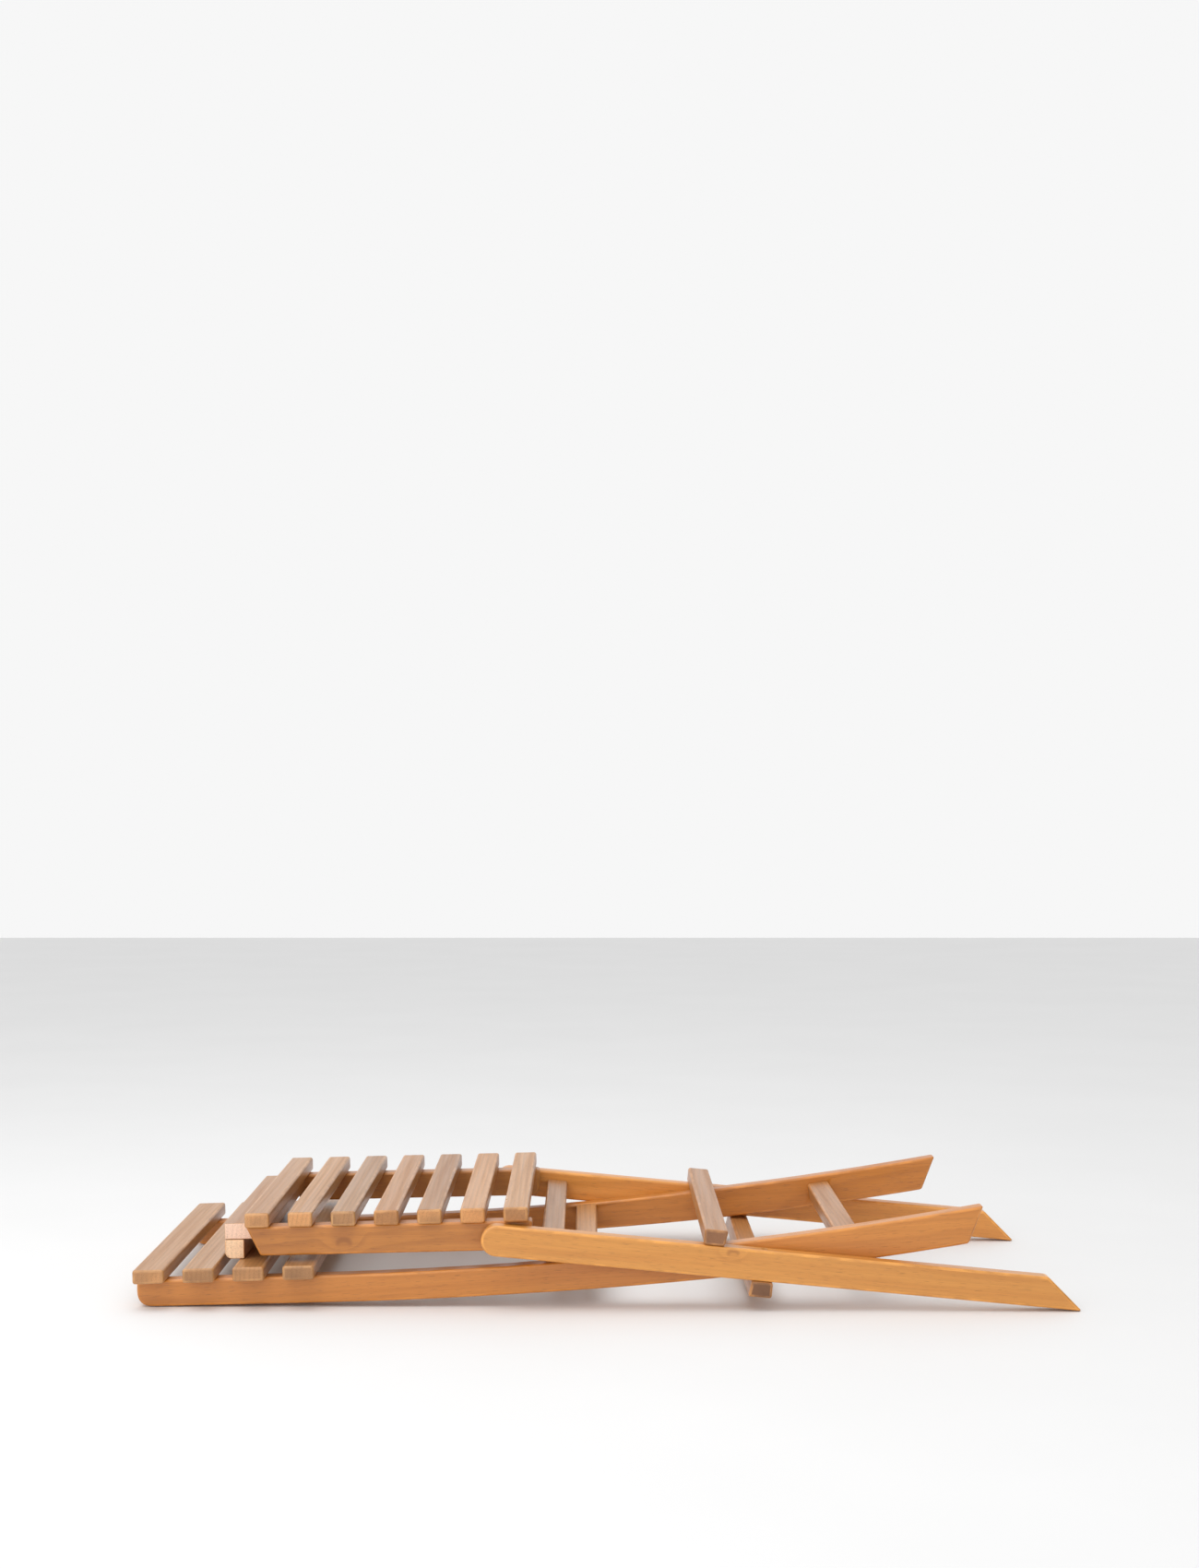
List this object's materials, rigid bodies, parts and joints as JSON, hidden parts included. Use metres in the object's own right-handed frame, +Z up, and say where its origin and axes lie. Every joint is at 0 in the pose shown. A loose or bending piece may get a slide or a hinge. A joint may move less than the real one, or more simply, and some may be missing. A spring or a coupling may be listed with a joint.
{
  "type": "folding chair",
  "caption": "Slatted wooden folding chair with crossed leg frames, curved back stiles and a seat that hooks over a catch rail, folded flat.",
  "frame": {"origin": "on the floor, under the middle of the folded chair's bounding box", "axes": "+X towards the feet, +Y towards the sitter's left, +Z up from the floor, out of the chair's front"},
  "size_m": [1.0708, 0.43, 0.1153],
  "materials": {
    "frame_wood": "satin",
    "slat_wood": "satin",
    "rail_wood": "satin",
    "steel": "satin"
  },
  "bodies": {
    "back_frame": {"back_stile_right": "frame_wood", "back_stile_left": "frame_wood", "back_slat_1": "slat_wood", "back_slat_1_screw_right": "steel", "back_slat_1_screw_left": "steel", "back_slat_2": "slat_wood", "back_slat_2_screw_right": "steel", "back_slat_2_screw_left": "steel", "back_slat_3": "slat_wood", "back_slat_3_screw_right": "steel", "back_slat_3_screw_left": "steel", "back_slat_4": "slat_wood", "back_slat_4_screw_right": "steel", "back_slat_4_screw_left": "steel", "seat_catch_rail": "rail_wood", "front_stretcher": "rail_wood", "cross_pivot_pin_right": "steel", "cross_pivot_washer_right": "steel", "cross_pivot_pin_left": "steel", "cross_pivot_washer_left": "steel"},
    "leg_frame": {"rear_leg_right": "frame_wood", "rear_leg_left": "frame_wood", "upper_stop_bar": "rail_wood", "upper_stop_bar_screw_right": "steel", "upper_stop_bar_screw_left": "steel", "lower_stop_bar": "rail_wood", "lower_stop_bar_screw_right": "steel", "lower_stop_bar_screw_left": "steel", "leg_top_rail": "rail_wood"},
    "seat": {"seat_rail_right": "frame_wood", "seat_rail_left": "frame_wood", "seat_slat_1": "slat_wood", "seat_slat_1_screw_right": "steel", "seat_slat_1_screw_left": "steel", "seat_slat_2": "slat_wood", "seat_slat_2_screw_right": "steel", "seat_slat_2_screw_left": "steel", "seat_slat_3": "slat_wood", "seat_slat_3_screw_right": "steel", "seat_slat_3_screw_left": "steel", "seat_slat_4": "slat_wood", "seat_slat_4_screw_right": "steel", "seat_slat_4_screw_left": "steel", "seat_slat_5": "slat_wood", "seat_slat_5_screw_right": "steel", "seat_slat_5_screw_left": "steel", "seat_slat_6": "slat_wood", "seat_slat_6_screw_right": "steel", "seat_slat_6_screw_left": "steel", "seat_slat_7": "slat_wood", "seat_slat_7_screw_right": "steel", "seat_slat_7_screw_left": "steel", "hook_board": "rail_wood", "hook_block": "rail_wood", "hook_block_screw_right": "steel", "hook_block_screw_left": "steel", "seat_pivot_pin_right": "steel", "seat_pivot_washer_right": "steel", "seat_pivot_pin_left": "steel", "seat_pivot_washer_left": "steel"}
  },
  "joints": [
    {"name": "cross_pivot", "type": "hinge", "parent": "back_frame", "child": "leg_frame", "pos_m": [0.14803, 0, 0.05355], "axis": [0, 1, 0], "range_deg": [0, 69.1]},
    {"name": "seat_pivot", "type": "hinge", "parent": "leg_frame", "child": "seat", "pos_m": [-0.12479, 0, 0.07889], "axis": [0, 1, 0], "range_deg": [-128.2, 0]}
  ],
  "couplings": [
    {"joint": "seat_pivot", "follows": "cross_pivot", "ratio": -1.85}
  ]
}
